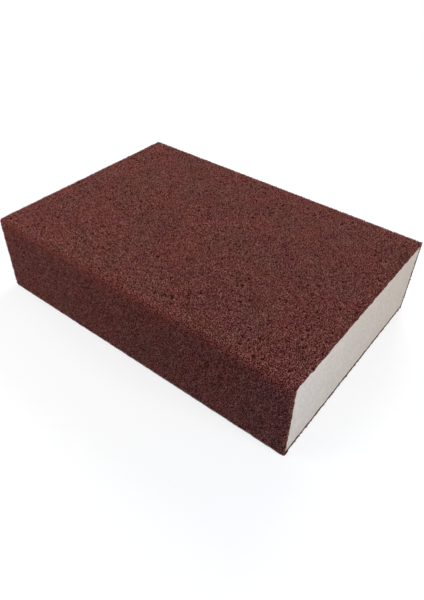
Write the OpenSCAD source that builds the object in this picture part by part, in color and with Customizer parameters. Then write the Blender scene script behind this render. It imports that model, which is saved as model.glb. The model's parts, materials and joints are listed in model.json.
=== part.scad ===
// Four-sided sanding sponge: a foam block with abrasive on its two faces and two long sides.
// X runs along the block between the two bare ends, Y across it, and Z up from the face it lies on.

/* [Block] */
// Length between the two bare ends
block_l = 100; // [60:0.5:160]
// Width over the grit of the two coated long sides
block_w = 68.9; // [40:0.1:120]
// Height over the grit of the two coated faces
block_h = 24.6; // [12:0.1:50]
// Radius of the two upper long edges, over the grit
top_edge_r = 1; // [0.6:0.1:5]
// Radius of the two lower long edges, over the grit
bottom_edge_r = 0.6; // [0.6:0.1:5]

/* [Coat] */
// Thickness of the resin film that bonds the grains to the foam
bond_t = 0.2; // [0.1:0.01:0.4]
// Height of the layer of grains above the resin film
grit_t = 0.3; // [0.1:0.01:0.5]
// How far a side coat laps onto a face, past the end of the rounder edges
lap_w = 1; // [0.2:0.1:4]

/* [Hidden] */
// Thickness of the whole coat
coat_t = bond_t + grit_t;
// Size of the bare foam under the coat
foam_w = block_w - 2 * coat_t;
foam_h = block_h - 2 * coat_t;
// Radius of the foam's own long edges, which are never quite sharp
top_foam_r = max(top_edge_r - coat_t, 0.05);
bottom_foam_r = max(bottom_edge_r - coat_t, 0.05);
// Width of a face coat, which ends where the two side coats begin
face_w = block_w - 2 * (max(top_edge_r, bottom_edge_r) + lap_w);
// Corners of a round edge's circle
$fn = 96;

foam_colour = "#c2bab3";
bond_colour = "#4a2a26";
grit_colour = "#603934";

// Lays a cross-section out along the block: its x runs along Y, and its y up Z from the middle of the block
module along_block()
  translate([-block_l / 2, 0, block_h / 2])
    rotate([90, 0, 90])
      linear_extrude(block_l) children();

// Cross-section of the foam grown outwards by a coat, with its long edges rounded
module section(coat) {
  w = foam_w + 2 * coat;
  h = foam_h + 2 * coat;
  top_r = top_foam_r + coat;
  bottom_r = bottom_foam_r + coat;
  translate([-w / 2, bottom_r - h / 2]) square([w, h - top_r - bottom_r]);
  translate([top_r - w / 2, 0]) square([w - 2 * top_r, h / 2]);
  translate([bottom_r - w / 2, -h / 2]) square([w - 2 * bottom_r, h / 2]);
  for (y = [-1, 1]) {
    translate([y * (w / 2 - top_r), h / 2 - top_r]) circle(top_r);
    translate([y * (w / 2 - bottom_r), bottom_r - h / 2]) circle(bottom_r);
  }
}

// A layer of the coat on a face: a flat strip between the side coats. side is 1 above and -1 below
module face_layer(from, thick, side)
  along_block()
    translate([0, side * (foam_h / 2 + from + thick / 2)])
      square([face_w, thick], center = true);

// A layer of the coat on a long side, carried round both long edges and lapped onto the faces.
// side is 1 at the rear and -1 at the front
module side_layer(from, thick, side)
  along_block()
    intersection() {
      difference() {
        section(from + thick);
        section(from);
      }
      translate([side * (face_w + block_w) / 4, 0])
        square([(block_w - face_w) / 2, block_h], center = true);
    }

module foam_core() color(foam_colour) along_block() section(0);

module top_bond_coat() color(bond_colour) face_layer(0, bond_t, 1);
module bottom_bond_coat() color(bond_colour) face_layer(0, bond_t, -1);
module front_bond_coat() color(bond_colour) side_layer(0, bond_t, -1);
module rear_bond_coat() color(bond_colour) side_layer(0, bond_t, 1);

module top_grit() color(grit_colour) face_layer(bond_t, grit_t, 1);
module bottom_grit() color(grit_colour) face_layer(bond_t, grit_t, -1);
module front_grit() color(grit_colour) side_layer(bond_t, grit_t, -1);
module rear_grit() color(grit_colour) side_layer(bond_t, grit_t, 1);

foam_core();
top_bond_coat();
bottom_bond_coat();
front_bond_coat();
rear_bond_coat();
top_grit();
bottom_grit();
front_grit();
rear_grit();
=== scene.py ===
# %% [markdown]
# # A four-sided sanding sponge
# The object is a block of soft foam with abrasive grit glued to its two faces and its two long sides. It
# fits in a hand, and painters rub down old paint, plaster and wood with it. Its solids are packed already,
# at their real size: a plain foam core, four films of resin and four layers of grit. This lesson models a
# finer piece for each of them, in metres and in the same frame: X along the block between its bare ends,
# Y across it, Z up. Every size comes from the solids, so they are loaded and measured first.

# %% Load the solids and measure them
import json
import math
import random

import bmesh
import bpy
import numpy as np
from mathutils import Matrix, Vector

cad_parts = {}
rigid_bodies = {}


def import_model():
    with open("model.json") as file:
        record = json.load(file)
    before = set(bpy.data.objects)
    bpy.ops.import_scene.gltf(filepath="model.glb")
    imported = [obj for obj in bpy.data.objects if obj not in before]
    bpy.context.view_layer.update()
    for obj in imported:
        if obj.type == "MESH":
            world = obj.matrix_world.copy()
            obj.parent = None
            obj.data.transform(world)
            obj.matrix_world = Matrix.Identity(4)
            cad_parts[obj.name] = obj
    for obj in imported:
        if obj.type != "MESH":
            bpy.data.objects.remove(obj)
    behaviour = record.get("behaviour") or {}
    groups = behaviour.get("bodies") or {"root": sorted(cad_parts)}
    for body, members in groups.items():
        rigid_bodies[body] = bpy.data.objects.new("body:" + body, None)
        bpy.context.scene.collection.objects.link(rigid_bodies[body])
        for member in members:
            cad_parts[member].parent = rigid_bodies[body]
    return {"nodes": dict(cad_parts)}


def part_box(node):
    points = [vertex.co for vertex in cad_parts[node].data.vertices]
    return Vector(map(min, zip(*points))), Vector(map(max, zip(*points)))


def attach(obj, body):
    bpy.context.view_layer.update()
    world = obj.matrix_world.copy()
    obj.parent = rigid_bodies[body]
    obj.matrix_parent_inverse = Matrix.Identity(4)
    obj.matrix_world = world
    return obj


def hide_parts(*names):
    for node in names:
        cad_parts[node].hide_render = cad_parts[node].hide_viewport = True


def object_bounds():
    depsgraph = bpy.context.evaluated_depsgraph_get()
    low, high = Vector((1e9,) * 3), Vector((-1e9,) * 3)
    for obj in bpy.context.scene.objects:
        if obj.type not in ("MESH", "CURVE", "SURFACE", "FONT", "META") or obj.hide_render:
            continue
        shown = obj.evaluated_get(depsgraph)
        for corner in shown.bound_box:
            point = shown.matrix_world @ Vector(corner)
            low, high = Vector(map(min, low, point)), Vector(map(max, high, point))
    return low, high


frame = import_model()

MM = 0.001
cad_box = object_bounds()
block_low, block_high = cad_box
block_mid = (block_low + block_high) / 2
foam_low, foam_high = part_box("foam_core")
foam_mid = (foam_low + foam_high) / 2
foam_size = foam_high - foam_low
BOND_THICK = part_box("top_bond_coat")[1].z - foam_high.z
GRIT_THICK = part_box("top_grit")[1].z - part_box("top_grit")[0].z
COAT_THICK = BOND_THICK + GRIT_THICK
SIDE_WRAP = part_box("front_grit")[1].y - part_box("front_grit")[0].y
TOP_RADIUS = 1.0 * MM  # of the upper long edges over the grit, as on the solids
BOTTOM_RADIUS = 0.6 * MM  # of the lower ones, which are sharper
print(len(frame["nodes"]), "solids, foam", [round(size / MM, 2) for size in foam_size], "mm")
print("bond", round(BOND_THICK / MM, 2), "mm, grit", round(GRIT_THICK / MM, 2), "mm")

# %% [markdown]
# ## The camera
# The photograph was taken close to the block, from above its nearest corner, so parallel edges draw
# together. A camera could be nudged by eye until the render agrees, but lens and distance are easily
# confused: a long lens far away and a short one close by show the same size at other angles. So the place,
# the aim, the roll and the lens below were solved from the block's corners and edges in the picture.

# %% Place the camera
CAMERA_PLACE = Vector((79.03, -102.36, 110.36)) * MM
CAMERA_AIM = Vector((11.11, -12.06, 12.28)) * MM
CAMERA_ROLL = math.radians(1.673)
CAMERA_LENS = 32.34  # mm, on Blender's 36 mm sensor

bpy.ops.object.select_all(action="DESELECT")
bpy.ops.object.camera_add(location=CAMERA_PLACE)
camera = bpy.context.object
camera.name = "camera"
sight = (CAMERA_AIM - CAMERA_PLACE).to_track_quat("-Z", "Y").to_matrix()
camera.rotation_euler = (sight @ Matrix.Rotation(CAMERA_ROLL, 3, "Z")).to_euler()
camera.data.lens = CAMERA_LENS
camera.data.clip_start = 1 * MM
bpy.context.scene.camera = camera
print("camera", round((CAMERA_AIM - CAMERA_PLACE).length / MM), "mm from its aim")

# %% [markdown]
# ## The foam core
# The core is sliced from a big slab of fine-celled foam, so its two ends are bare knife cuts. A cube with
# bevelled edges would give the outline, but its ends would be two single faces with no room for cells. So
# a fine grid, the shape of an end and a little larger, is added at one end of the block and extruded along
# it in a few steps. An operator works on whatever is selected, so each step first clears the selection.

# %% Extrude the end of the block along its length
CELL_PITCH = 0.27 * MM  # of the grid on the ends
CORE_STEPS = 10
MOULD_SPARE = 1 * MM  # by which the bar is larger than the core on each side


def start_clean():
    """Leaves edit mode and drops the whole selection."""
    if bpy.context.object and bpy.context.object.mode != "OBJECT":
        bpy.ops.object.mode_set(mode="OBJECT")
    bpy.ops.object.select_all(action="DESELECT")


def new_piece(name, size):
    """Names the unit primitive that was just added and gives it its size, all in its mesh."""
    piece = bpy.context.object
    piece.name = name
    piece.data.name = name
    piece.scale = size
    bpy.ops.object.transform_apply(location=True, rotation=True, scale=True)
    return piece


def foam_bar():
    """A bar a little larger than the core, with finely divided ends."""
    width = foam_size.y + 2 * MOULD_SPARE
    height = foam_size.z + 2 * MOULD_SPARE
    start_clean()
    bpy.ops.mesh.primitive_grid_add(
        x_subdivisions=round(height / CELL_PITCH),
        y_subdivisions=round(width / CELL_PITCH),
        size=1,
        location=(foam_low.x, foam_mid.y, foam_mid.z),
        rotation=(0, math.pi / 2, 0),
    )
    bar = new_piece("foam_core_block", (height, width, 1))
    bpy.ops.object.mode_set(mode="EDIT")
    bpy.ops.mesh.select_all(action="SELECT")
    for _ in range(CORE_STEPS):
        move = {"value": (foam_size.x / CORE_STEPS, 0, 0)}
        bpy.ops.mesh.extrude_region_move(TRANSFORM_OT_translate=move)
    bpy.ops.mesh.select_all(action="SELECT")
    bpy.ops.mesh.normals_make_consistent(inside=False)
    bpy.ops.object.mode_set(mode="OBJECT")
    return bar


foam = foam_bar()
print("foam bar:", len(foam.data.polygons), "faces")

# %% [markdown]
# ## Rounded long edges
# The long edges of the foam are softened before they are coated, the upper two more than the lower two. A
# bevel on the finely divided bar would have to find its way through hundreds of small faces. It is easier
# to bevel the four long edges of a plain cube and to use it as a mould: a Boolean then keeps only what the
# bar and the mould have in common. Edges are picked in code, by their place. Some operators list their new
# faces in another order each time. That shows as soon as random numbers are drawn face by face, so the
# faces are put in a fixed order at the end, and every run gives the same block.

# %% Bevel a mould
EDGE_SEGMENTS = 6
TOUCH = 0.001 * MM  # points closer than this lie in the same place


def pick(piece, kind, test):
    """In edit mode, selects only the points (VERT) or edges (EDGE) that pass the test, and counts them."""
    bpy.ops.mesh.select_mode(type=kind)
    bpy.ops.mesh.select_all(action="DESELECT")
    mesh = bmesh.from_edit_mesh(piece.data)
    parts = mesh.verts if kind == "VERT" else mesh.edges
    chosen = [part for part in parts if test(part)]
    for part in chosen:
        part.select_set(True)
    mesh.select_flush_mode()
    bmesh.update_edit_mesh(piece.data)
    return len(chosen)


def at_height(edge, level):
    """Whether both ends of an edge lie at this height."""
    return all(abs(vert.co.z - level) < TOUCH for vert in edge.verts)


def runs_along(edge):
    """Whether an edge runs from end to end of the mould."""
    first, last = edge.verts
    return abs(first.co.x - last.co.x) > foam_size.x


def foam_mould():
    """The core's own outline with its long edges rounded, longer than the core at both ends."""
    start_clean()
    bpy.ops.mesh.primitive_cube_add(size=1, location=foam_mid)
    mould = new_piece("foam_mould", (foam_size.x + 2 * MOULD_SPARE, foam_size.y, foam_size.z))
    bpy.ops.object.mode_set(mode="EDIT")
    for level, radius in ((foam_high.z, TOP_RADIUS), (foam_low.z, BOTTOM_RADIUS)):
        found = pick(mould, "EDGE", lambda edge: runs_along(edge) and at_height(edge, level))
        bpy.ops.mesh.bevel(offset=radius - COAT_THICK, segments=EDGE_SEGMENTS, affect="EDGES")
        print(found, "long edges rounded to", round((radius - COAT_THICK) / MM, 2), "mm")
    bpy.ops.object.mode_set(mode="OBJECT")
    return mould


mould = foam_mould()

# %% Keep what the bar and the mould have in common
def take_up(piece):
    """Makes one piece the selected and active one."""
    start_clean()
    piece.select_set(True)
    bpy.context.view_layer.objects.active = piece


def finish_with(piece, modifier, **settings):
    """Adds a modifier with these settings and applies it."""
    take_up(piece)
    bpy.ops.object.modifier_add(type=modifier)
    added = piece.modifiers[-1]
    for name, value in settings.items():
        setattr(added, name, value)
    bpy.ops.object.modifier_apply(modifier=added.name)


def scrap(piece):
    """Deletes a helper piece."""
    take_up(piece)
    bpy.ops.object.delete()


def put_in_order(piece):
    """Lists the faces of a mesh by their vertices, each from its lowest one."""
    points = [vert.co.copy() for vert in piece.data.vertices]
    faces = []
    for face in piece.data.polygons:
        ring = list(face.vertices)
        start = ring.index(min(ring))
        faces.append(ring[start:] + ring[:start])
    piece.data.clear_geometry()
    piece.data.from_pydata(points, [], sorted(faces))


finish_with(foam, "BOOLEAN", operation="INTERSECT", object=mould, solver="EXACT")
scrap(mould)
put_in_order(foam)
print("foam core:", len(foam.data.polygons), "faces")

# %% [markdown]
# ## Node trees written as sums
# The cells of the foam, the pits of the coat and all the finishes need arithmetic in node trees. Math
# nodes that are wired up one by one soon hide what they work out. One small class wraps a node's output
# instead, so that `1 - mask` adds the Math node for it, and its `node` method adds any other node.

# %% A wire in a node tree
class Wire:
    """An output in a node tree. Arithmetic on it adds Math nodes to the tree."""

    def __init__(self, tree, socket=None):
        self.tree = tree
        self.socket = socket

    def node(self, kind, settings=None, sockets=None, out=0):
        """Adds a node: its settings first, then the values or wires of its sockets."""
        made = self.tree.nodes.new(kind)
        for name, value in (settings or {}).items():
            setattr(made, name, value)
        for name, value in (sockets or {}).items():
            if isinstance(value, Wire):
                self.tree.links.new(value.socket, made.inputs[name])
            else:
                made.inputs[name].default_value = value
        return Wire(self.tree, made.outputs[out] if made.outputs else None)

    def maths(self, operation, first, second):
        return self.node("ShaderNodeMath", {"operation": operation}, {0: first, 1: second})

    def __add__(self, other):
        return self.maths("ADD", self, other)

    def __sub__(self, other):
        return self.maths("SUBTRACT", self, other)

    def __rsub__(self, other):
        return self.maths("SUBTRACT", other, self)

    def __mul__(self, other):
        return self.maths("MULTIPLY", self, other)

    def __abs__(self):
        return self.maths("ABSOLUTE", self, 0)

    __radd__ = __add__
    __rmul__ = __mul__

    def step(self, low, high):
        """0 below low, 1 above high, and a smooth rise between."""
        settings = {"interpolation_type": "SMOOTHSTEP"}
        return self.node("ShaderNodeMapRange", settings, {0: self, 1: low, 2: high})

    def scaled(self, factor):
        """A vector times a number."""
        settings = {"operation": "SCALE"}
        return self.node("ShaderNodeVectorMath", settings, {"Vector": self, "Scale": factor})

    def axes(self):
        """The X, Y and Z of a vector, each as a wire."""
        parts = self.node("ShaderNodeSeparateXYZ", {}, {"Vector": self}).socket.node
        return [Wire(self.tree, output) for output in parts.outputs]

    def noise(self, size, detail=2.0, roughness=0.5, place=None, layer=None):
        """Noise whose lumps are about this size, in metres. Another layer is another pattern."""
        settings = {}
        sockets = {"Scale": 1 / size, "Detail": detail, "Roughness": roughness}
        if place:
            sockets["Vector"] = place
        if layer:
            settings["noise_dimensions"] = "4D"
            sockets["W"] = layer
        return self.node("ShaderNodeTexNoise", settings, sockets)


trial = bpy.data.node_groups.new("trial", "GeometryNodeTree")
trial_end = (1 - Wire(trial).noise(1 * MM)).socket.node
print("1 - noise has", len(trial.nodes), "nodes and ends in", trial_end.bl_idname)
bpy.data.node_groups.remove(trial)

# %% [markdown]
# ## The cut ends
# A knife through foam opens thousands of cells, so an end is finely pitted and never quite level. Sculpting
# that by hand would take hours, and a bump in the finish alone would leave the mesh flat. Geometry nodes
# can press a cell pattern and a slow wave into the fine grid, inwards only, so that the block keeps its
# length, and only where a face looks along the block.

# %% Press the cells into the ends
CELL_SIZE = 0.75 * MM
CELL_DEPTH = 0.1 * MM
CELL_WALL = (0.1, 0.7)  # where the wall of a cell rises, in cell sizes from its middle
WAVE_SIZE = 4 * MM
WAVE_DEPTH = 0.12 * MM
END_FACING = (0.8, 0.9)  # the squared X of a normal, from just off an end to on it
SMOOTH_ANGLE = math.radians(50)


def geometry_group(name):
    """An empty group of geometry nodes, with the wire of its way in."""
    group = bpy.data.node_groups.new(name, "GeometryNodeTree")
    for way in ("INPUT", "OUTPUT"):
        group.interface.new_socket("Geometry", in_out=way, socket_type="NodeSocketGeometry")
    return group, Wire(group).node("NodeGroupInput")


def foam_relief():
    """Moves the points of both ends inwards, by cells and by a slow wave."""
    group, mesh = geometry_group("foam_relief")
    cells = mesh.node("ShaderNodeTexVoronoi", {}, {"Scale": 1 / CELL_SIZE})
    depth = (1 - cells.step(*CELL_WALL)) * CELL_DEPTH + mesh.noise(WAVE_SIZE) * WAVE_DEPTH
    normal = mesh.node("GeometryNodeInputNormal")
    along = normal.axes()[0]
    on_end = (along * along).step(*END_FACING)
    moved = {"Geometry": mesh, "Offset": normal.scaled(-1 * depth * on_end)}
    mesh.node("NodeGroupOutput", {}, {"Geometry": mesh.node("GeometryNodeSetPosition", {}, moved)})
    return group


finish_with(foam, "NODES", node_group=foam_relief())
take_up(foam)
bpy.ops.object.shade_smooth_by_angle(angle=SMOOTH_ANGLE)
print("foam ends reach", [round(corner[0] / MM, 2) for corner in (foam.bound_box[0], foam.bound_box[6])])

# %% [markdown]
# ## The coats of the two faces
# On the real block a roller lays a film of resin on the foam, grains are sprinkled into it, and a second
# wash of resin locks them. There is a coat on each face and on each long side, and all four begin here as
# open sheets, on the outside of their resin. The two on the faces are flat. A single plane has the right
# outline, but the ripples and pits that come later need points to move, so each sheet is a fine grid.

# %% Lay the sheets of the faces
SHEET_PITCH = 0.5 * MM  # of the grid on the sheets


def face_sheet(name, up):
    """The outside of the resin on the top (up is 1) or on the bottom (up is -1)."""
    low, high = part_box(name + "_bond_coat")
    start_clean()
    bpy.ops.mesh.primitive_grid_add(
        x_subdivisions=round(foam_size.x / SHEET_PITCH),
        y_subdivisions=round((high.y - low.y) / SHEET_PITCH),
        size=1,
        location=(0, 0, high.z if up > 0 else low.z),
        rotation=(0 if up > 0 else math.pi, 0, 0),
    )
    return new_piece(name + "_sheet", (foam_size.x, high.y - low.y, 1))


sheets = {"top": face_sheet("top", 1), "bottom": face_sheet("bottom", -1)}
for sheet in sheets.values():
    print(sheet.name, len(sheet.data.polygons), "faces")

# %% [markdown]
# ## The coats of the two long sides
# A side's coat turns round both long edges of the block and laps a little onto the faces, where it meets
# the face coats edge to edge. It could be folded from a strip and bevelled, but the bevel would squeeze the
# fine grid at the folds. Spin draws the shape as it is: the border of a flat grid is turned a quarter circle
# about the middle of the edge's rounding, and is then extruded to the end of the lap. A spin can turn a
# sheet inside out, so the doubles are merged and the normals turned outwards, and its faces are put in
# order as well, because the grains are scattered over them later.

# %% Spin the sheets of the sides
EDGE_STEPS = 6
LAP_STEPS = 2


def turn_border(sheet, out, up, wall, border, turn):
    """Carries a border of a side's sheet round its long edge and on to the end of the lap."""
    lap = SIDE_WRAP - GRIT_THICK - turn
    pick(sheet, "EDGE", lambda edge: at_height(edge, border))
    bpy.ops.mesh.spin(
        steps=EDGE_STEPS,
        angle=-up * out * math.pi / 2,
        center=(0, wall - out * turn, border),
        axis=(1, 0, 0),
    )
    for _ in range(LAP_STEPS):
        move = {"value": (0, -out * lap / LAP_STEPS, 0)}
        bpy.ops.mesh.extrude_edges_move(TRANSFORM_OT_translate=move)


def side_sheet(name, out):
    """The outside of the resin on the rear side (out is 1) or on the front side (out is -1)."""
    low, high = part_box(name + "_bond_coat")
    wall = high.y if out > 0 else low.y
    top_turn = TOP_RADIUS - GRIT_THICK
    bottom_turn = BOTTOM_RADIUS - GRIT_THICK
    flat = high.z - top_turn - low.z - bottom_turn
    middle = low.z + bottom_turn + flat / 2
    start_clean()
    bpy.ops.mesh.primitive_grid_add(
        x_subdivisions=round(foam_size.x / SHEET_PITCH),
        y_subdivisions=round(flat / SHEET_PITCH),
        size=1,
        location=(0, wall, middle),
        rotation=(-out * math.pi / 2, 0, 0),
    )
    sheet = new_piece(name + "_sheet", (foam_size.x, flat, 1))
    bpy.ops.object.mode_set(mode="EDIT")
    turn_border(sheet, out, 1, wall, middle + flat / 2, top_turn)
    turn_border(sheet, out, -1, wall, middle - flat / 2, bottom_turn)
    bpy.ops.mesh.select_all(action="SELECT")
    bpy.ops.mesh.remove_doubles(threshold=TOUCH)
    bpy.ops.mesh.normals_make_consistent(inside=False)
    mesh = bmesh.from_edit_mesh(sheet.data)
    flattest = max(mesh.faces, key=lambda face: abs(face.normal.y))
    if flattest.normal.y * out < 0:
        bpy.ops.mesh.flip_normals()
    bpy.ops.object.mode_set(mode="OBJECT")
    put_in_order(sheet)
    return sheet


sheets["front"] = side_sheet("front", -1)
sheets["rear"] = side_sheet("rear", 1)
for sheet in sheets.values():
    extent = Vector(sheet.bound_box[6]) - Vector(sheet.bound_box[0])
    print(sheet.name, [round(size / MM, 2) for size in extent], "mm")

# %% [markdown]
# ## Pits
# Where the resin sank into a large open cell of the foam there is a pit, which holds no grains and looks
# almost black. Holes cut one by one would end up in rows. A Voronoi texture scatters its points unevenly
# instead, and the distance to the nearest of them makes a pit round each. Two noises are added to it: a
# fine one that makes the brims ragged, and a slow one that makes the pits crowd together in places.

# %% Say where the pits are
PIT_SIZE = 1.8 * MM  # between one pit and the next
PIT_REACH = {"top": 0.335, "bottom": 0.335, "front": 0.25, "rear": 0.25}  # of a pit, in that size
PIT_BRIM = 0.06  # half of the slope from the pit to the level resin
PIT_RAGGED = 0.3
PIT_RAGGED_SIZE = PIT_SIZE / 2
PIT_CROWD = 0.3
PIT_CROWD_SIZE = 12 * MM
NOISE_MIDDLE = 0.5  # noise runs from 0 to 1 and mostly lies near this


def pits(wire, reach):
    """1 in the pits and 0 elsewhere."""
    ragged = wire.noise(PIT_RAGGED_SIZE, detail=1) * PIT_RAGGED
    crowd = (wire.noise(PIT_CROWD_SIZE, detail=1) - NOISE_MIDDLE) * PIT_CROWD
    nearest = wire.node("ShaderNodeTexVoronoi", {}, {"Scale": 1 / PIT_SIZE})
    return 1 - (nearest + ragged - crowd).step(reach - PIT_BRIM, reach + PIT_BRIM)


print("room for about", round(foam_size.x * foam_size.y / PIT_SIZE**2), "pits on a face")

# %% [markdown]
# ## A torn end and a rippled film
# The resin ripples a little all over. At one end the knife tore the coat as it came through, so grit and
# resin stick out past the foam in a ragged fringe there. Both could be sculpted, but they follow simple
# rules, so geometry nodes do it: each point of a sheet moves along its normal by the ripples and the pits,
# and near that end also along the block. The pits are kept as an attribute, which the finish reads later.

# %% Give the sheets their relief
RIPPLE_SIZE = 2.2 * MM
RIPPLE_HEIGHT = 0.1 * MM
PIT_DEPTH = 0.15 * MM
FRINGE = {"top": 0.4 * MM, "bottom": 0.08 * MM, "front": 0.36 * MM, "rear": 0.06 * MM}  # at the most
FRINGE_SIZE = 2 * MM  # from one tear to the next
FRINGE_ROOT = FRINGE_SIZE / 2  # how far from the end the coat begins to give
FRINGE_RISE = (0.1, 0.8)  # of the noise, from no fringe to all of it
IN_PIT = 0.5  # past this a point counts as part of a pit


def overhang(wire, fringe):
    """How far a point moves along the block at the end where the knife has torn the coat."""
    along = wire.node("GeometryNodeInputPosition").axes()[0]
    at_end = along.step(block_high.x - FRINGE_ROOT, block_high.x)
    return at_end * wire.noise(FRINGE_SIZE).step(*FRINGE_RISE) * fringe


def resin_relief(reach, fringe):
    """Moves a sheet along its normals, draws out its fringe and stores its pits."""
    group, mesh = geometry_group("resin_relief")
    pit = pits(mesh, reach)
    height = (mesh.noise(RIPPLE_SIZE) - NOISE_MIDDLE) * RIPPLE_HEIGHT - pit * PIT_DEPTH
    torn = mesh.node("ShaderNodeCombineXYZ", {}, {"X": overhang(mesh, fringe)})
    both = {0: mesh.node("GeometryNodeInputNormal").scaled(height), 1: torn}
    offset = mesh.node("ShaderNodeVectorMath", {"operation": "ADD"}, both)
    kind = {"data_type": "FLOAT", "domain": "POINT"}
    pitted = {"Geometry": mesh, "Name": "pit", "Value": pit}
    kept = mesh.node("GeometryNodeStoreNamedAttribute", kind, pitted)
    moved = mesh.node("GeometryNodeSetPosition", {}, {"Geometry": kept, "Offset": offset})
    mesh.node("NodeGroupOutput", {}, {"Geometry": moved})
    return group


for name, sheet in sheets.items():
    finish_with(sheet, "NODES", node_group=resin_relief(PIT_REACH[name], FRINGE[name]))
    depths = np.zeros(len(sheet.data.vertices))
    sheet.data.attributes["pit"].data.foreach_get("value", depths)
    print(name, "pits cover", round(100 * (depths > IN_PIT).mean(), 1), "%")

# %% [markdown]
# ## The bond coats
# The film of resin is the sheet with its real thickness. Extruding the sheet by hand gives walls that
# splay where it turns round an edge. Solidify grows it along its normals instead, inwards, down to the
# foam, and closes its borders. Each film is made from a copy, because the grains need the sheets as well.

# %% Thicken the sheets into films of resin
def copy_of(piece, name):
    """A copy with its own mesh."""
    take_up(piece)
    bpy.ops.object.duplicate()
    copy = bpy.context.object
    copy.name = name
    copy.data.name = name
    return copy


films = {}
for name, sheet in sheets.items():
    film = copy_of(sheet, name + "_resin_film")
    finish_with(film, "SOLIDIFY", thickness=BOND_THICK, offset=-1)
    films[name] = film
    print(film.name, len(film.data.polygons), "faces")

# %% [markdown]
# ## The grains
# Crushed grit is sharp: flat broken faces that meet at hard corners. A displaced ball would look like a
# pebble, and tens of thousands of them would be far too heavy. A cone of three sides has only four faces,
# all flat, so it is the lightest start there is, and a pull at each corner takes its evenness away. A few
# such grains are enough, because every copy will be turned and sized at random.

# %% Model a few crushed grains
GRAIN_KINDS = 6
GRAIN_SIDES = 3
GRAIN_FOOT = 0.55  # radius of the foot, where a grain is about 1 across
GRAIN_TALL = 0.75
GRAIN_PULL = 0.15  # the most that a corner moves along each axis
GRAIN_SEED = 7
dice = random.Random(GRAIN_SEED)


def crushed_grain(number):
    """One grain about 1 unit across, shaped by pulling its corners."""
    start_clean()
    bpy.ops.mesh.primitive_cone_add(
        vertices=GRAIN_SIDES, radius1=GRAIN_FOOT, radius2=0, depth=GRAIN_TALL
    )
    grain = new_piece(f"grain_{number}", (1, 1, 1))
    corners = len(grain.data.vertices)
    bpy.ops.object.mode_set(mode="EDIT")
    for corner in range(corners):
        pick(grain, "VERT", lambda vert: vert.index == corner)
        pull = [dice.uniform(-GRAIN_PULL, GRAIN_PULL) for _ in range(3)]
        bpy.ops.transform.translate(value=pull)
    bpy.ops.mesh.select_all(action="SELECT")
    bpy.ops.mesh.normals_make_consistent(inside=False)
    bpy.ops.object.mode_set(mode="OBJECT")
    return grain


grain_box = bpy.data.collections.new("grain_box")
bpy.context.scene.collection.children.link(grain_box)
for number in range(GRAIN_KINDS):
    grain = crushed_grain(number)
    for home in list(grain.users_collection):
        home.objects.unlink(grain)
    grain_box.objects.link(grain)

# %% [markdown]
# ## The grit layers
# Each layer is one mesh of thousands of grains, set in its sheet of resin. Placing them by hand is out of
# the question, and a particle system can't keep them apart. Geometry nodes can: they scatter points that
# stay a least distance apart, leave out the pits, and put a grain on each point, picked, turned and sized
# at random. Each grain also keeps a random number, its tone, so that the finish can make it darker or
# paler. The lowest grains end level with the bench, because the weight of the block presses them in.

# %% Scatter the grains on the sheets
GRAIN_APART = 0.28 * MM
GRAIN_SIZE = (0.30 * MM, 0.46 * MM)
GRAIN_LIFT = 0.11 * MM  # of its middle, above the resin
GRAINS_TRIED = 80e6  # points per square metre, before those too close are dropped
SEEDS_EACH = 10  # random seeds kept for each layer
BENCH = (-1, -1, 0)  # no grain lies below this corner of a wide bench, in metres


def random_value(wire, kind, low, high, seed):
    """A random number, vector or count for each point."""
    # The sockets of all kinds have the same names, so they are found by number
    first = {"FLOAT_VECTOR": 0, "FLOAT": 2, "INT": 4}[kind]
    sockets = {first: low, first + 1: high, "Seed": seed}
    return wire.node("FunctionNodeRandomValue", {"data_type": kind}, sockets, out=first // 2)


def toned_points(mesh, seed, reach):
    """The points that hold a grain, each with its tone."""
    spread = {"Mesh": mesh, "Distance Min": GRAIN_APART, "Density Max": GRAINS_TRIED, "Seed": seed}
    method = {"distribute_method": "POISSON"}
    points = mesh.node("GeometryNodeDistributePointsOnFaces", method, spread)
    normal = Wire(mesh.tree, points.socket.node.outputs["Normal"])
    in_pit = mesh.maths("GREATER_THAN", pits(mesh, reach), IN_PIT)
    held = mesh.node("GeometryNodeDeleteGeometry", {}, {"Geometry": points, "Selection": in_pit})
    lift = {"Geometry": held, "Offset": normal.scaled(GRAIN_LIFT)}
    lifted = mesh.node("GeometryNodeSetPosition", {}, lift)
    kind = {"data_type": "FLOAT", "domain": "POINT"}
    tone = random_value(mesh, "FLOAT", 0.0, 1.0, seed + 1)
    toned = {"Geometry": lifted, "Name": "tone", "Value": tone}
    return mesh.node("GeometryNodeStoreNamedAttribute", kind, toned)


def grit_scatter(seed, reach):
    """Turns a sheet into the grains that lie on it."""
    group, mesh = geometry_group("grit_scatter")
    box = {"Collection": grain_box, "Separate Children": True, "Reset Children": True}
    placed = {
        "Points": toned_points(mesh, seed, reach),
        "Instance": mesh.node("GeometryNodeCollectionInfo", {}, box),
        "Pick Instance": True,
        "Instance Index": random_value(mesh, "INT", 0, GRAIN_KINDS - 1, seed + 2),
        "Rotation": random_value(mesh, "FLOAT_VECTOR", (0,) * 3, (math.tau,) * 3, seed + 3),
        "Scale": random_value(mesh, "FLOAT", *GRAIN_SIZE, seed + 4),
    }
    grains = mesh.node("GeometryNodeInstanceOnPoints", {}, placed)
    solid = mesh.node("GeometryNodeRealizeInstances", {}, {"Geometry": grains})
    place = mesh.node("GeometryNodeInputPosition")
    level = place.node("ShaderNodeVectorMath", {"operation": "MAXIMUM"}, {0: place, 1: BENCH})
    pressed = mesh.node("GeometryNodeSetPosition", {}, {"Geometry": solid, "Position": level})
    mesh.node("NodeGroupOutput", {}, {"Geometry": pressed})
    return group


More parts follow.
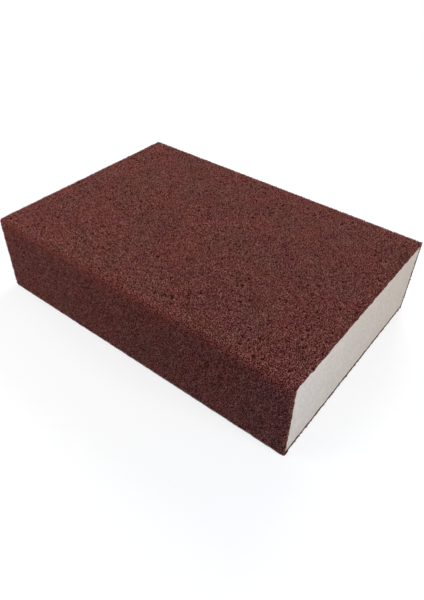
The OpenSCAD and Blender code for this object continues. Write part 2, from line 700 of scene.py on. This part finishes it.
grits = {}
for number, (name, sheet) in enumerate(sheets.items()):
    grit = copy_of(sheet, name + "_grains")
    finish_with(grit, "NODES", node_group=grit_scatter(SEEDS_EACH * number, PIT_REACH[name]))
    grits[name] = grit
    print(grit.name, len(grit.data.polygons), "faces", list(grit.data.attributes.keys()))

# %% Clear the helpers away
for sheet in sheets.values():
    scrap(sheet)
for grain in list(grain_box.objects):
    bpy.data.objects.remove(grain)
bpy.data.collections.remove(grain_box)
print(1 + len(films) + len(grits), "pieces left")

# %% [markdown]
# ## The finish of the foam
# The bare ends are warm off-white foam, quite matt, and the cells show as a faint mottle. At the rim resin
# has soaked in a little way and stained it brown, in a ragged line. One flat colour would look like card,
# and a picture of foam would repeat. So a slow noise mixes two tints, and a fine cell pattern darkens the
# middles of the cells with painted shade and dents the light a little. The rim is found from how far inside
# the foam's box a point lies. The colours are written as they show on a screen, and turned into the linear
# light that Blender reckons with.

# %% Make the finish of the foam
FOAM_CELL = 0.55 * MM
FOAM_SPECK = 0.8 * MM
FOAM_MOTTLE = 4 * MM
FOAM_DENT = 0.05 * MM
FOAM_DENT_SHARE = 0.5
FOAM_CELL_SHADE_RISE = (0.0, 0.8)  # where the painted shade in a cell gives way to its pale wall, in cell sizes from its middle
FOAM_CELL_SHADE_SHARE = 0.5
SOAK_DEPTH = 0.5 * MM
SOAK_TOOTH = 0.9 * MM  # between one tooth of the ragged line and the next
SOAK_BLUR = SOAK_DEPTH / 4  # on each side of that line
EVEN_SWING = (0.35, 0.65)  # of a noise, from one tint to the other
SOFT_SWING = (0.3, 0.7)


def colour(red, green, blue):
    """A colour as it shows on a screen, 0 to 255, as linear light."""
    shown = [level / 255 for level in (red, green, blue)]
    return [c / 12.92 if c <= 0.04045 else ((c + 0.055) / 1.055) ** 2.4 for c in shown] + [1.0]


def new_material(name, roughness, gloss):
    """A material with its Principled shader and the wire of its Object coordinates."""
    material = bpy.data.materials.new(name)
    material.use_nodes = True
    tree = material.node_tree
    shader = next(node for node in tree.nodes if node.type == "BSDF_PRINCIPLED")
    shader.inputs["Roughness"].default_value = roughness
    shader.inputs["Specular IOR Level"].default_value = gloss
    return material, shader, Wire(tree).node("ShaderNodeTexCoord", out="Object")


def plug(wire, node, socket):
    """Leads a wire into a socket of a node that is there already."""
    wire.tree.links.new(wire.socket, node.inputs[socket])


def mixed(factor, first, second):
    """One colour turning into another."""
    # The node mixes numbers and vectors too, in sockets of the same names, so the colours go by number
    sockets = {0: factor, 6: first, 7: second}
    return factor.node("ShaderNodeMix", {"data_type": "RGBA"}, sockets, out=2)


def soaked(place):
    """1 at the rim of the foam, where the resin has sunk in a little way."""
    _, across, up = place.axes()
    inside_y = foam_size.y / 2 - abs(across - foam_mid.y)
    inside_z = foam_size.z / 2 - abs(up - foam_mid.z)
    ragged = place.noise(SOAK_TOOTH, place=place) * SOAK_DEPTH
    inside = place.maths("MINIMUM", inside_y, inside_z) - ragged
    return 1 - inside.step(-SOAK_BLUR, SOAK_BLUR)


def foam_material():
    material, shader, place = new_material("cut_foam", roughness=0.95, gloss=0.2)
    cells = place.node("ShaderNodeTexVoronoi", {}, {"Vector": place, "Scale": 1 / FOAM_CELL})
    mottle = place.noise(FOAM_MOTTLE, detail=3, place=place).step(*EVEN_SWING)
    tint = mixed(mottle, colour(206, 200, 194), colour(212, 203, 193))
    # The middles of the cells are darkened with painted shade
    shaded_cells = mixed(cells.step(*FOAM_CELL_SHADE_RISE) * FOAM_CELL_SHADE_SHARE, colour(192, 184, 177), tint)
    cut = mixed(place.noise(FOAM_SPECK, place=place).step(*SOFT_SWING), shaded_cells, tint)
    plug(mixed(soaked(place), cut, colour(92, 54, 47)), shader, "Base Color")
    dents = {"Strength": FOAM_DENT_SHARE, "Distance": FOAM_DENT, "Height": cells}
    plug(place.node("ShaderNodeBump", {}, dents), shader, "Normal")
    return material


foam_finish = foam_material()
print(foam_finish.name, len(foam_finish.node_tree.nodes), "nodes")

# %% [markdown]
# ## The finish of the resin
# Resin shows between the grains and in the pits. It is a dark maroon brown. Resin is often glossy, but a
# gloss here would catch the white surroundings and turn the pits grey, so it is nearly matt. A cloudy
# noise varies it, and the attribute that the sheets kept makes the pits darker still, with painted shade in
# the hollows.

# %% Make the finish of the resin
RESIN_CLOUD = 1.2 * MM


def resin_material():
    material, shader, place = new_material("bond_resin", roughness=0.7, gloss=0.03)
    cloud = place.noise(RESIN_CLOUD, detail=3, place=place)
    pit = place.node("ShaderNodeAttribute", {"attribute_name": "pit"}, out="Fac")
    film = mixed(cloud, colour(56, 22, 19), colour(78, 34, 29))
    # The pits are darkened with painted shade
    plug(mixed(pit, film, colour(34, 12, 10)), shader, "Base Color")
    return material


resin_finish = resin_material()
print(resin_finish.name, len(resin_finish.node_tree.nodes), "nodes")

# %% [markdown]
# ## The finish of the grit
# The grains are washed with the same resin, but their broken faces are paler, and each has its own tone.
# The palest, greyer grains are partly painted glints.
# The coat as a whole isn't one brown either: it wanders between a redder and a greyer one, with patches
# that turn purple. Along the two upper long edges a fresher red shows. It is partly wear where hands and
# work rub, and partly a painted highlight where the rounded edges catch the light. It reaches further down
# the sides than onto the top. Painting all that by hand would fit one block only. The nodes mix it from
# noises, from the tone that each grain kept, and from the distance to those edges.

# %% Make the finish of the grit
GRIT_PATCH = 9 * MM
GRIT_PATCH_ROUGHNESS = 0.6
PURPLE_PATCH = 5 * MM
PURPLE_LAYER = 3.0  # another cut through the noise than the patches have
PURPLE_SWING = (0.45, 0.75)
PURPLE_SHARE = 0.6
DARK_TONES = (0.0, 0.5)  # below these a grain is dark
PALE_AND_GLINT_TONES = (0.75, 1.0)  # above these it is pale, partly as a painted glint
# The fresher red along the upper edges is partly wear and partly a painted highlight
WEAR_AND_HIGHLIGHT_WIDTH = 1.0 * MM
WEAR_AND_HIGHLIGHT_FADE = (0.2 * WEAR_AND_HIGHLIGHT_WIDTH, 2.2 * WEAR_AND_HIGHLIGHT_WIDTH)
WEAR_AND_HIGHLIGHT_INWARDS = 1.2  # how fast the wear and painted highlight fade across the top
WEAR_AND_HIGHLIGHT_DOWNWARDS = 0.3  # and down the sides, where it reaches further
WEAR_AND_HIGHLIGHT_TOOTH = 3 * MM
WEAR_AND_HIGHLIGHT_SHARE = 0.6


def worn_and_highlit_edges(place):
    """Wear and painted highlight: 1 at the two upper long edges, fading raggedly over the top and down the
    sides.
    """
    _, across, up = place.axes()
    inwards = (block_high.y - abs(across)) * WEAR_AND_HIGHLIGHT_INWARDS
    downwards = (block_high.z - up) * WEAR_AND_HIGHLIGHT_DOWNWARDS
    ragged = place.noise(WEAR_AND_HIGHLIGHT_TOOTH, detail=3, place=place) * WEAR_AND_HIGHLIGHT_WIDTH
    return 1 - (inwards + downwards + ragged).step(*WEAR_AND_HIGHLIGHT_FADE)


def grit_material():
    material, shader, place = new_material("grit", roughness=0.6, gloss=0.06)
    tone = place.node("ShaderNodeAttribute", {"attribute_name": "tone"}, out="Fac")
    patch = place.noise(GRIT_PATCH, detail=3, roughness=GRIT_PATCH_ROUGHNESS, place=place)
    cloud = place.noise(PURPLE_PATCH, detail=1, place=place, layer=PURPLE_LAYER)
    brown = mixed(patch.step(*EVEN_SWING), colour(156, 90, 80), colour(141, 92, 81))
    purple = mixed(cloud.step(*PURPLE_SWING) * PURPLE_SHARE, brown, colour(148, 84, 92))
    darker = mixed(tone.step(*DARK_TONES), colour(95, 44, 39), purple)
    # Pale, greyish grains: random tone, and partly painted glints
    paler_and_glinting = mixed(tone.step(*PALE_AND_GLINT_TONES), darker, colour(168, 120, 113))
    # A fresher red along the upper edges: partly wear, partly a painted highlight
    rubbed_and_highlit = mixed(worn_and_highlit_edges(place) * WEAR_AND_HIGHLIGHT_SHARE, paler_and_glinting, colour(172, 86, 76))
    plug(rubbed_and_highlit, shader, "Base Color")
    return material


grit_finish = grit_material()
print(grit_finish.name, len(grit_finish.node_tree.nodes), "nodes")

# %% [markdown]
# ## A flat map for each coat
# When a finish is baked into a picture, each surface needs its place in that picture: its UV map. An
# automatic unwrap would cut a layer into tens of thousands of loose grains. But a coat is a strip, so a
# formula lays it out flat and whole: along the block one way, and across the face or round the side the
# other. A grain then takes the colour of the spot that it lies on.

# %% Lay the maps
def lay_map(piece, on_side):
    """A flat map of a coat: along the block, and across the face or round the side."""
    mesh = piece.data
    places = np.empty(3 * len(mesh.vertices))
    mesh.vertices.foreach_get("co", places)
    x, y, z = places.reshape(-1, 3).T
    up = z - block_mid.z
    round_side = up + np.sign(up) * (block_high.y - np.abs(y))
    run = round_side if on_side else y
    flat = np.stack([(x - x.min()) / np.ptp(x), (run - run.min()) / np.ptp(run)], axis=1)
    corners = np.empty(len(mesh.loops), dtype=int)
    mesh.loops.foreach_get("vertex_index", corners)
    while mesh.uv_layers:
        mesh.uv_layers.remove(mesh.uv_layers[0])
    mesh.uv_layers.new(name="OFBake").data.foreach_set("uv", flat[corners].ravel())


for coat in (films, grits):
    for name, piece in coat.items():
        lay_map(piece, name in ("front", "rear"))
        print(piece.name, len(piece.data.loops), "corners mapped")

# %% [markdown]
# ## Every piece takes its place
# Each piece gets its finish, rides on the block's one body, and stands for the solid that it was built
# round, which is then hidden. Nothing on the block moves by itself, but its foam gives way in the hand.

# %% Dress the pieces
def dress(piece, node, finish):
    """Gives a piece its finish, its body, and the solid that it stands for."""
    piece.data.materials.clear()
    piece.data.materials.append(finish)
    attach(piece, "root")
    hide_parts(node)
    print(piece.name, "stands for", node)


dress(foam, "foam_core", foam_finish)
for name in films:
    dress(films[name], name + "_bond_coat", resin_finish)
    dress(grits[name], name + "_grit", grit_finish)

# %% [markdown]
# ## The floor
# The block lies on a plain white floor. A white floor that is only lit turns grey where the lamps are far,
# and throws white light back onto the block. So the camera sees a floor that mostly glows by itself, with a
# share left for the lamps, which is where the block's shadow shows, and that becomes plain white further
# out. Light that bounces off the floor meets a dark grey instead, and Light Path tells the two apart. A
# glow reaches under the block's round edges too, where no light would, so Ambient Occlusion finds the spots
# that are all but covered and turns them black, as the real shadow is along the foot of the block.

# %% Lay the floor
FLOOR_SIZE = 4.0
FLOOR_GREY = 0.04  # what light on the block bounces off
FLOOR_SHADE = 0.28  # how much of the floor's white the lamps have to light, near the block
FLOOR_GLOW = 0.74  # how much of it is there without them
FLOOR_FADE = (0.1, 0.3)  # where the lit floor gives way to plain white, in metres from the middle
FOOT_REACH = 0.8 * MM  # how near the block has to be to darken the floor at its foot
FOOT_SHADE = (0.3, 0.6)  # how much of what lies above a spot is open, from black to the lit floor
WHITE = (1, 1, 1, 1)
BLACK = (0, 0, 0, 1)


def in_picture(wire):
    """1 for what the camera sees, straight or in a reflection, and 0 for light on the object."""
    path = wire.node("ShaderNodeLightPath").socket.node
    straight, glossy, through = [
        Wire(wire.tree, path.outputs[f"Is {kind} Ray"]) for kind in ("Camera", "Glossy", "Transmission")
    ]
    return wire.maths("MAXIMUM", straight, wire.maths("MAXIMUM", glossy, through))


def floor_material():
    material, shader, place = new_material("pale_floor", roughness=1.0, gloss=0.0)
    shader.inputs["Base Color"].default_value = (FLOOR_GREY, FLOOR_GREY, FLOOR_GREY, 1)
    lit = place.node("ShaderNodeBsdfDiffuse", {}, {"Color": (FLOOR_SHADE, FLOOR_SHADE, FLOOR_SHADE, 1)})
    glow = place.node("ShaderNodeEmission", {}, {"Color": WHITE, "Strength": FLOOR_GLOW})
    near = place.node("ShaderNodeAddShader", {}, {0: lit, 1: glow})
    far = place.node("ShaderNodeEmission", {}, {"Color": WHITE})
    reach = place.node("ShaderNodeVectorMath", {"operation": "LENGTH"}, {"Vector": place}, out="Value")
    white = place.node("ShaderNodeMixShader", {}, {0: reach.step(*FLOOR_FADE), 1: near, 2: far})
    black = place.node("ShaderNodeBsdfDiffuse", {}, {"Color": BLACK})
    above = place.node("ShaderNodeAmbientOcclusion", {}, {"Distance": FOOT_REACH}, out="AO")
    seen = place.node("ShaderNodeMixShader", {}, {0: above.step(*FOOT_SHADE), 1: black, 2: white})
    grey = Wire(place.tree, shader.outputs[0])
    both = place.node("ShaderNodeMixShader", {}, {0: in_picture(place), 1: grey, 2: seen})
    output = next(node for node in place.tree.nodes if node.type == "OUTPUT_MATERIAL")
    plug(both, output, "Surface")
    return material


start_clean()
bpy.ops.mesh.primitive_plane_add(size=1)
floor = new_piece("floor", (FLOOR_SIZE, FLOOR_SIZE, 1))
floor.data.materials.append(floor_material())
print("floor", FLOOR_SIZE, "m wide")

# %% [markdown]
# ## The lamps
# The light in the picture is soft. The top is brightest towards the rear, the front side is lit from the
# left and darkens towards the near corner, and the bare end is a little warm, but colder near that corner.
# A single sun gives flat light and a hard shadow. A few small square lamps, each aimed at one side of the
# block, can be set side by side with the picture until each side has its level, and their shadows stay soft.

# %% Hang the lamps
def on_block(along, across):
    """A point at half height: along and across run from -1 to 1, between the ends and the sides."""
    return Vector((along * block_high.x, across * block_high.y, block_mid.z))


def area_lamp(name, place, aim, size, power, tint=(1, 1, 1)):
    """A square lamp at a place, turned to its aim. Its place and its size are in millimetres."""
    start_clean()
    bpy.ops.object.light_add(type="AREA", location=Vector(place) * MM)
    lamp = bpy.context.object
    lamp.name = name
    lamp.rotation_euler = (aim - lamp.location).to_track_quat("-Z", "Y").to_euler()
    lamp.data.size = size * MM
    lamp.data.energy = power
    lamp.data.color = tint
    print(name, round((aim - lamp.location).length / MM), "mm away,", power, "W")


WARM = (1.0, 0.965, 0.91)
COLD = (0.15, 0.45, 1.0)
COOL = (0.45, 0.65, 1.0)
area_lamp("rear_key", (-60, 250, 200), on_block(0, 1), size=150, power=0.82)
area_lamp("end_fill", (340, -20, 150), on_block(1, 0), size=120, power=0.915, tint=WARM)
area_lamp("far_end_fill", (-340, 20, 40), on_block(-1, 0), size=60, power=0.45)
area_lamp("left_fill", (-160, -160, 45), on_block(-0.4, -1), size=60, power=0.18)
area_lamp("front_fill", (-40, -120, 120), on_block(-0.4, -1), size=100, power=0.078)
area_lamp("corner_fill", (85, -85, 30), on_block(1, -1), size=30, power=0.008, tint=COLD)
area_lamp("near_end_fill", (85, -34, 36), on_block(1, -0.9), size=20, power=0.0026, tint=COOL)

# %% [markdown]
# ## The world
# Between the lamps a room gives faint light from all round, a little cold here. The same world has to look
# white to the camera, but a white world would light the block far too much. Light Path tells these two
# apart again: what the camera sees is white, and what lights the block is the faint, cold light.

# %% Fill the world
WORLD_LIGHT = 0.12
WORLD_TINT = (0.88, 0.97, 1.18)

world = bpy.data.worlds.new("studio")
bpy.context.scene.world = world
world.use_nodes = True
background = next(node for node in world.node_tree.nodes if node.type == "BACKGROUND")
faint = [WORLD_LIGHT * level for level in WORLD_TINT] + [1]
plug(mixed(in_picture(Wire(world.node_tree)), faint, WHITE), background, "Color")
bpy.context.scene.view_settings.view_transform = "Standard"
print("world light", [round(level, 3) for level in faint[:3]])
